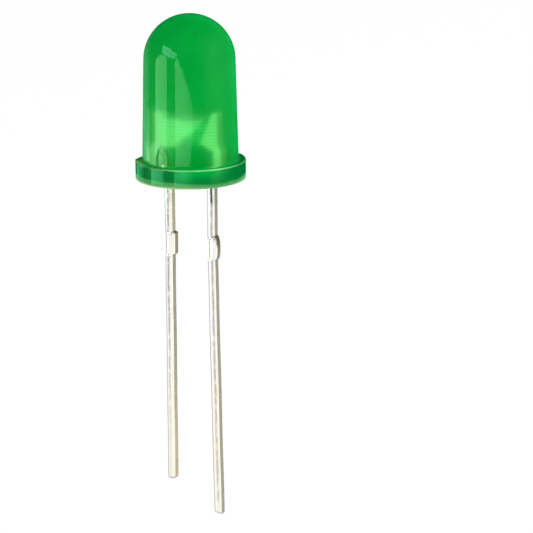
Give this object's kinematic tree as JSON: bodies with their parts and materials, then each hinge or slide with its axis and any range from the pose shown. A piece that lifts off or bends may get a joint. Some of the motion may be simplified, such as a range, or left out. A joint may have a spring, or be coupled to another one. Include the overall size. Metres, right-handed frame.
{
  "type": "through hole led",
  "caption": "Round green light-emitting diode: diffused epoxy lens with a flange and a cathode flat, and two straight tinned leads for soldering through a board.",
  "frame": {"origin": "centre of the seating face under the flange, on the axis of the dome", "axes": "+Z along the axis towards the dome, +X towards the anode lead, so the flat of the flange and the cathode lead are on the -X side"},
  "size_m": [0.0055, 0.0058, 0.0268],
  "materials": {
    "epoxy": "moulded, glossy outside, milky green through and through",
    "cathode_tin": "bright tin over steel, sheared edges",
    "anode_tin": "bright tin over steel, sheared edges",
    "silver_paste": "cured paste, satin",
    "crystal": "sawn sides, polished top",
    "pad_gold": "evaporated gold",
    "wire_gold": "drawn gold"
  },
  "bodies": {
    "root": {"lens": "epoxy", "cathode_lead": "cathode_tin", "anode_lead": "anode_tin", "die_attach": "silver_paste", "die": "crystal", "bond_pad": "pad_gold", "bond_wire": "wire_gold"}
  },
  "joints": []
}
